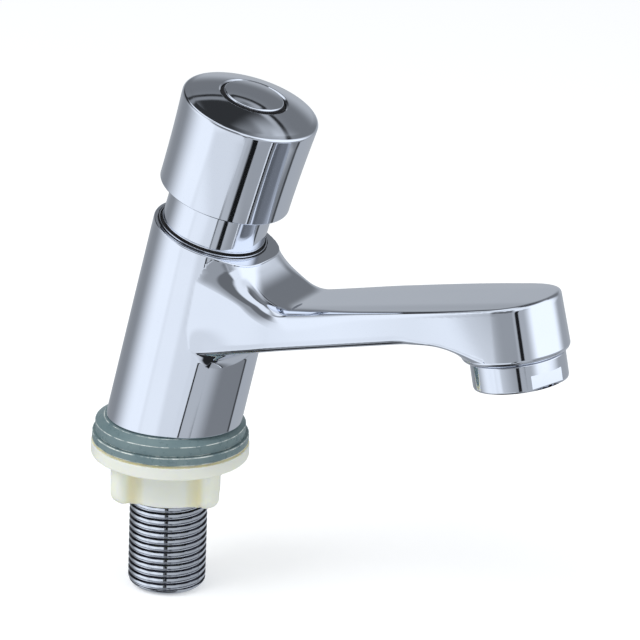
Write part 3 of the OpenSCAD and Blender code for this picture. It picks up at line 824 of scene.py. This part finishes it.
def screen_wire(shell, way, n):
    """The n-th wire from the middle, along X for way 0 and along Y for way 1."""
    off = n * WEAVE
    reach = math.sqrt(SCREEN_R ** 2 - off * off)
    along = np.linspace(-reach, reach, max(8, int(reach * 8)))
    sign = 1 if (n + way) % 2 else -1
    rise = sign * WIRE_R * np.cos(math.pi * along / WEAVE)
    spots, normals = [], []
    for s, z in zip(along, rise):
        for a in around(WIRE_SIDES):
            across, up = off + WIRE_R * math.cos(a), z + WIRE_R * math.sin(a) + SCREEN_Z
            spots.append([s, across, up] if way == 0 else [across, s, up])
            normals.append([0, math.cos(a), math.sin(a)] if way == 0 else [math.cos(a), 0, math.sin(a)])
    faces = []
    for i in range(0, len(spots) - WIRE_SIDES, WIRE_SIDES):
        for k in range(WIRE_SIDES):
            j = (k + 1) % WIRE_SIDES
            ids = [i + k, i + j, i + WIRE_SIDES + j, i + WIRE_SIDES + k]
            faces.append(ids[::-1] if way == 0 else ids)
    shell.add(spots, faces, [normals[x] for ids in faces for x in ids], 0.0, OUT, OUT_R)


screen = Shell()
for way in (0, 1):
    for n in range(-10, 11):
        if abs(n * WEAVE) <= 9.5:
            screen_wire(screen, way, n)
screen.make("outlet_screen", "tap", "steel", steel, "aerator_screen")

# shank: a right-hand G1/2 thread that runs out at its lower end
THREAD_START, THREAD_WAVE, SOCKET_R, SOCKET_Z = -1.2, 0.36, 7.7, -36.0
plain_r = THREAD_R - 0.64 * THREAD_P + 0.35


def thread(a, z):
    """The thread's radius at an angle and a height."""
    wave = np.cos(2 * math.pi * (z / THREAD_P) - a)
    r = THREAD_R - THREAD_WAVE + THREAD_WAVE * wave
    r = plain_r + (r - plain_r) * smooth(-z, -THREAD_START, 2.6)
    runout = THREAD_R - 0.25 - 1.75 * np.clip(1 - (SHANK_L + z) / 2.2, 0, 1) ** 2.2
    return np.minimum(r, runout)


turns, levels = 120, np.linspace(THREAD_START, -SHANK_L + 0.02, 390)
aa, zz = np.meshgrid(around(turns), levels, indexing="ij")
rr = thread(aa, zz)
ra = (thread(aa + 0.002, zz) - thread(aa - 0.002, zz)) / 0.004
rz = (thread(aa, zz + 0.01) - thread(aa, zz - 0.01)) / 0.02
spots = np.stack([rr * np.cos(aa), rr * np.sin(aa), zz], -1).reshape(-1, 3)
normals = np.stack([np.cos(aa) + ra / rr * np.sin(aa), np.sin(aa) - ra / rr * np.cos(aa), -rz], -1)
normals = normals.reshape(-1, 3)
ids = np.arange(turns * len(levels)).reshape(turns, len(levels))
beside = np.roll(ids, -1, 0)
faces = np.stack([ids[:, 1:], beside[:, 1:], beside[:, :-1], ids[:, :-1]], -1).reshape(-1, 4)
# mark the thread's upper flanks, where the plate's dark colour is painted as shade
shade = smooth(-rz.ravel()[faces].mean(1), 0.15, 0.7)
shank = Shell()
shank.add(spots, faces.tolist(), normals[faces.ravel()], shade)
lathe(shank, outline([(SOCKET_R, SOCKET_Z), (SOCKET_R, -SHANK_L, 0.3), (THREAD_R - 2.0, -SHANK_L + 0.02)],
                     closed=False), turns)
lathe(shank, outline([(plain_r, THREAD_START), (plain_r, -0.4), (10.1, -0.4), (10.1, 3.15), (8.6, 3.15),
                      (8.6, 9.35), (BORE, 9.35), (BORE, SOCKET_Z), (SOCKET_R, SOCKET_Z)],
                     closed=False), turns)
shank.make("threaded_shank", "tap", "chrome", thread_chrome, "shank")


# rubber gasket and washer, hand-trimmed
def hand_cut(angle, r, z):
    """Unevenness of the outer edge."""
    if r < 13:
        return 0.0
    waves = 0.03 * np.sin(3 * angle + 0.6 + z)
    return -0.05 + waves + 0.02 * np.sin(11 * angle + 2.1) + 0.012 * np.sin(29 * angle + 0.9 * z)


SLACK, GASKET_BORE, WASHER_BORE = 0.02, 10.73, 10.88
pad = Shell()
lathe(pad, outline([(GASKET_BORE, SLACK), (GASKET_R, SLACK, 0.25), (GASKET_R, GASKET_T - 1.45, 0.22),
                    (BASE_R + 0.8, GASKET_T - SLACK, 0.5), (GASKET_BORE, GASKET_T - SLACK)]),
      180, wobble=hand_cut)
pad.make("deck_gasket", "tap", "gasket", rubber, "upper_gasket")
under = Shell()
lathe(under, outline([(WASHER_BORE, SLACK - WASHER_T), (WASHER_R, SLACK - WASHER_T, 0.25),
                      (WASHER_R, -SLACK, 0.22), (WASHER_BORE, -SLACK)]),
      180, wobble=hand_cut)
under.make("under_washer", "clamp", "gasket", rubber, "lower_washer")


# winged nut: flange, hub and four wings, with moulded rounds
def wing_place(p):
    """Where points lie along the nearest wing and across it."""
    a = math.radians(WING_TURN)
    x = np.abs(p[:, 0] * math.cos(a) + p[:, 1] * math.sin(a))
    y = np.abs(-p[:, 0] * math.sin(a) + p[:, 1] * math.cos(a))
    return np.maximum(x, y), np.minimum(x, y)


def wing_nut(p):
    u, v = wing_place(p)
    z = p[:, 2]
    top, low = -WASHER_T, -WASHER_T - FLANGE_T - HUB_H
    rho = np.hypot(u, v)
    plate = both(both(rho - FLANGE_R + 0.02, z - top + 0.55, 0.35), top - FLANGE_T - z, 0.6)
    plate = np.minimum(plate, both(both(rho - FLANGE_R + 0.75, z - top, 0.2), top - 2.0 - z, 0.1))
    hub = both(rho - HUB_R - 0.012 * (z - low), low - z, 0.5)
    wide = WING_T / 2 - 0.15 + 0.02 * (z - low)
    blade = both(both(u - WING_R, low - z, 3.2), v - wide, 1.7)
    solid = np.maximum(either(hub, blade, 1.8), z - top)
    solid = np.maximum(either(solid, plate, 0.7), z - top)
    return both(solid, THREAD_R + 0.35 - rho, 0.3)


def nook_depth(p):
    """1 beside the wings, in the corners that they make with the hub, and 0 on their ends and on the hub."""
    v = wing_place(p)[1]
    return smooth(v, 1.2, 2.2) * (1 - smooth(v, 3.4, 6.0)) * (p[:, 2] < -WASHER_T - FLANGE_T)


points, quads = net(wing_nut, (-21.6, -21.6, -17.6), (21.6, 21.6, -1.4), 0.42)
slope = gradient(wing_nut, points)
middle = points[quads].mean(1)
reach = np.hypot(middle[:, 0], middle[:, 1])
# painted shade: the seat under the washer and the nooks between the wings and the hub are marked for the
# yellow tint
seat_shade = (middle[:, 2] > -WASHER_T - 0.6) * (reach < FLANGE_R - 0.2)
nook_shade = smooth(-np.abs(reach - HUB_R - 1.4), -2.6, -0.4) * smooth(nook_depth(middle), 0.2, 1.0)
nut = Shell()
nut.add(points, quads.tolist(), slope[quads.ravel()], np.maximum(seat_shade * 1.0, 0.8 * nook_shade))
nut.make("wing_nut", "nut", "nut_plastic", ivory, "backnut")

# camera at the photograph's viewing angle
turn, rise, roll = math.radians(29.02), math.radians(19.87), math.radians(-2.27)
pivot, aim_right, aim_up, distance = np.array([0, 0, 2.7]), 38.87, 26.05, 1042.21
view = np.array([math.sin(turn) * math.cos(rise), -math.cos(turn) * math.cos(rise), math.sin(rise)])
right = np.array([math.cos(turn), math.sin(turn), 0.0])
up = np.cross(view, right)
cam_x = math.cos(roll) * right - math.sin(roll) * up
cam_y = math.sin(roll) * right + math.cos(roll) * up
lens = bpy.data.cameras.new("photo_camera")
lens.lens, lens.sensor_width = 225.0, 36.0
lens.clip_start, lens.clip_end = 0.01, 50.0
camera = placed("photo_camera", lens)
pose = Matrix(np.column_stack([cam_x, cam_y, view]).tolist()).to_4x4()
pose.translation = Vector(((aim_right * cam_x + aim_up * cam_y + distance * view + pivot) * MM).tolist())
camera.matrix_world = pose
bpy.context.scene.camera = camera


def seen(tree):
    """1 for what the camera sees, straight, mirrored or through something, and 0 for light on surfaces."""
    path = tree.nodes.new("ShaderNodeLightPath").outputs
    direct = maths(tree, "MAXIMUM", path["Is Camera Ray"], path["Is Glossy Ray"])
    return maths(tree, "MAXIMUM", direct, path["Is Transmission Ray"])


# pale floor just under the shank's end, clear from below
FLOOR_HALF, FLOOR_Z = 6, -0.0432
floor_mesh = bpy.data.meshes.new("floor")
floor_corners = [(x * FLOOR_HALF, y * FLOOR_HALF, FLOOR_Z) for x, y in ((-1, -1), (1, -1), (1, 1), (-1, 1))]
floor_mesh.from_pydata(floor_corners, [], [(0, 1, 2, 3)])
floor = placed("floor", floor_mesh)
floor.visible_glossy = False
paper = bpy.data.materials.new("pale_floor")
tree, surface = bare_tree(paper, "ShaderNodeOutputMaterial")
matte = node(tree, "ShaderNodeBsdfDiffuse", Color=(0.86, 0.87, 0.88, 1))
strength = spread(tree, seen(tree), 0.0, 0.32, 0.0, 1.0)
lift = node(tree, "ShaderNodeEmission", [("Strength", strength)], Color=(1, 1, 1, 1))
sheet = node(tree, "ShaderNodeAddShader", [(0, matte.outputs[0]), (1, lift.outputs[0])])
clear = node(tree, "ShaderNodeBsdfTransparent")
back = node(tree, "ShaderNodeNewGeometry").outputs["Backfacing"]
either_side = node(tree, "ShaderNodeMixShader", [(0, back), (1, sheet.outputs[0]), (2, clear.outputs[0])])
tree.links.new(either_side.outputs[0], surface)
floor_mesh.materials.append(paper)

# world: white where it is seen, a plain level where it lights
world = bpy.data.worlds.new("studio")
bpy.context.scene.world = world
tree, surface = bare_tree(world, "ShaderNodeOutputWorld")
fill = node(tree, "ShaderNodeBackground", Color=(0.97, 0.985, 1.0, 1), Strength=0.62)
white = node(tree, "ShaderNodeBackground", Color=(1, 1, 1, 1), Strength=1.0)
sky = node(tree, "ShaderNodeMixShader", [(0, seen(tree)), (1, fill.outputs[0]), (2, white.outputs[0])])
tree.links.new(sky.outputs[0], surface)


def lamp(name, azimuth, elevation, distance, size, power):
    """A round lamp that shines at the tap's middle and shows in no reflection."""
    data = bpy.data.lights.new(name, "AREA")
    data.shape, data.size, data.energy = "DISK", size, power
    a, e = math.radians(azimuth), math.radians(elevation)
    out = Vector((math.cos(a) * math.cos(e), math.sin(a) * math.cos(e), math.sin(e)))
    light = placed(name, data)
    light.location = out * distance + Vector((0.04, 0, 0.02))
    light.rotation_mode = "QUATERNION"
    light.rotation_quaternion = out.to_track_quat("Z", "Y")
    light.visible_glossy = False


lamp("key_light", -120, 48, 0.9, 0.6, 3.4)
lamp("fill_light", 0, 40, 1.0, 0.7, 2.2)

# studio tent, seen by reflections alone
TENT_ROWS, TENT_COLS, TENT_R = 32, 64, 8.0
verts, faces = [], []
for e in -math.pi / 2 + math.pi * np.arange(TENT_ROWS + 1) / TENT_ROWS:
    level_r, z = TENT_R * math.cos(e), TENT_R * math.sin(e)
    verts += [(level_r * math.cos(a), level_r * math.sin(a), z) for a in around(TENT_COLS)]
for i in range(0, TENT_ROWS * TENT_COLS, TENT_COLS):
    for j in range(TENT_COLS):
        k = (j + 1) % TENT_COLS
        faces.append((i + j, i + k, i + TENT_COLS + k, i + TENT_COLS + j))
tent_mesh = bpy.data.meshes.new("studio_tent")
tent_mesh.from_pydata(verts, [], faces)
tent = placed("studio_tent", tent_mesh)
for sight in ("camera", "diffuse", "shadow", "transmission", "volume_scatter"):
    setattr(tent, "visible_" + sight, False)
cloth = bpy.data.materials.new("tent_cloth")
tree, surface = bare_tree(cloth, "ShaderNodeOutputMaterial")
coord = node(tree, "ShaderNodeTexCoord").outputs["Object"]
parts = node(tree, "ShaderNodeSeparateXYZ", [(0, coord)]).outputs
azimuth = maths(tree, "ARCTAN2", parts["Y"], parts["X"])
height = maths(tree, "ARCSINE", maths(tree, "DIVIDE", parts["Z"], TENT_R))


def window(az0, az1, el0, el1, soft_left, soft_right, soft_el, slant):
    """1 inside a patch of directions, given in degrees, and 0 outside, with soft edges."""
    half_w, half_e = math.radians((az1 - az0) / 2), math.radians((el1 - el0) / 2)
    s, t, v = (math.radians(x) / 2 for x in (soft_left, soft_right, soft_el))
    shifted = maths(tree, "SUBTRACT", azimuth, math.radians((az0 + az1) / 2))
    wrapped = maths(tree, "WRAP", shifted, math.pi, -math.pi)
    lifted = maths(tree, "SUBTRACT", height, math.radians((el0 + el1) / 2))
    if slant:
        lifted = maths(tree, "MULTIPLY_ADD", wrapped, -slant, lifted)
    left_edge = spread(tree, wrapped, 0.0, 1.0, -half_w - s, -half_w + s, "SMOOTHSTEP")
    right_edge = spread(tree, wrapped, 1.0, 0.0, half_w - t, half_w + t, "SMOOTHSTEP")
    upright = spread(tree, maths(tree, "ABSOLUTE", lifted), 1.0, 0.0, half_e - v, half_e + v, "SMOOTHSTEP")
    return maths(tree, "MULTIPLY", maths(tree, "MULTIPLY", left_edge, right_edge), upright)


def grey(level):
    """A slightly blue grey."""
    return (level * 0.945, level, level * 1.07)


# patches of the tent by what they show in: azimuth from and to, elevation from and to, softness of the left
# edge, the right edge and the level edges, slant, and brightness
PATCHES = (
    ("ground", -179, 179, -95, -28, 1, 1, 8, 0, 0.40),
    ("ground, right", -30, 62, -95, -28, 50, 30, 8, 0, 0.23),
    ("ground, dark in front", -126, -50, -95, -47, 16, 6, 6, 0, 0.02),
    ("straight down", -179, 179, -95, -66, 1, 1, 8, 0, 0.02),
    ("left side", 140, 208, -60, 25, 26, 26, 20, 0, 0.29),
    ("spout top", 85, 150, -12, 24, 20, 30, 22, 0, 0.48),
    ("dim behind", 60, 215, 16, 46, 20, 30, 20, 0, 0.20),
    ("dome, right", -10, 100, 46, 62, 20, 30, 6, 0, 0.45),
    ("dome, right, high", -10, 100, 62, 90, 20, 30, 8, 0, 0.22),
    ("dome, dark crescent", 80, 150, 51, 82, 30, 30, 3, 0, 0.035),
    ("dome, thin line", 40, 140, 44.0, 47.0, 20, 30, 2, 0, 0.03),
    ("spout, near edge", 136, 212, 28, 49, 16, 20, 6, 0, 0.03),
    ("horn", 140, 235, 52, 92, 24, 30, 6, 0, 1.0),
    ("centre", -100, -40, -42, 14, 20, 20, 8, 0, 0.36),
    ("boss, left", -92, -57, -18, 14, 20, 4, 8, 0, 0.36),
    ("boss, right", -58, -24, -30, 14, 4, 16, 8, 0, 0.46),
    ("soft box, button and neck", -163, -100, -50, -22, 50, 70, 6, 0, 1.0),
    ("soft box, spout side", -163, -112, -24, 44, 50, 24, 6, 0, 1.02),
    ("barrel, falling off", -118, -62, -40, -16, 12, 6, 16, 0, 0.8),
    ("barrel, bright", -118, -69, -26.5, -20.5, 12, 1.5, 3.0, -0.2, 0.96),
    ("barrel, less bright", -86, -69, -30, -23.5, 14, 1.5, 2.0, -0.2, 0.78),
    ("barrel, right of the line", -67, -25, -40, -14, 1, 40, 12, 0, 0.52),
    ("barrel, black line", -69.5, -66.5, -34, -18, 1, 1, 6, 0, 0.03),
    ("barrel, edge line", 47, 53, -40, -24, 2, 2, 3, 0, 0.07),
    ("barrel, edge band", 53, 112, -40, -16, 3, 20, 6, 0, 0.45),
    ("under the top edge", -112, -60, 8, 40, 20, 8, 8, 0, 0.16),
    ("high soft box", -110, -15, 42, 78, 30, 20, 10, 0, 0.95),
    ("boss, bevel", -60, -15, 18, 46, 8, 20, 8, 0, 0.95),
    ("right soft box", -25, 55, -4, 54, 22, 44, 5, 0, 1.15),
    ("upper right", -38, 20, 50, 60, 30, 40, 8, 0, 0.85),
    ("straight up", -28, 12, 66, 90, 10, 30, 6, 0, 0.15),
    ("outlet ring, slit", -66, -58.5, -25, -6.2, 2.5, 2.5, 1.5, 0, 0.014),
    ("boss, slit", -53, -45.5, -5.8, 13, 2.5, 2.5, 1.5, 0, 0.014),
    ("button, band", -47, -13.5, -75, -41, 30, 1.2, 3, 0, 0.38),
    ("button, right", -13.5, 78, -75, -41, 1.2, 20, 3, 0, 0.46),
    ("button, right of the line", -11.5, 2, -75, -41, 1.2, 46, 3, 0, 0.12),
    ("button, white line", -16.2, -13.6, -75, -40, 1.0, 0.6, 2, 0, 0.85),
    ("button, second black line", -13.5, -10.5, -75, -40, 0.6, 1.0, 2, 0, 0.010),
    ("button, black line", -54, -43.5, -70, -35.5, 4, 1.5, 2, 0, 0.010))
colour = mixed(tree, spread(tree, height, 0.0, 1.0, -0.2, 0.5), grey(0.40), grey(0.30))
for name, *edges, level in PATCHES:
    colour = mixed(tree, window(*edges), colour, grey(level), name)
shine = node(tree, "ShaderNodeEmission", [("Color", colour)], Strength=1.0)
tree.links.new(shine.outputs[0], surface)
tent_mesh.materials.append(cloth)

bpy.context.scene.view_settings.view_transform = "Standard"
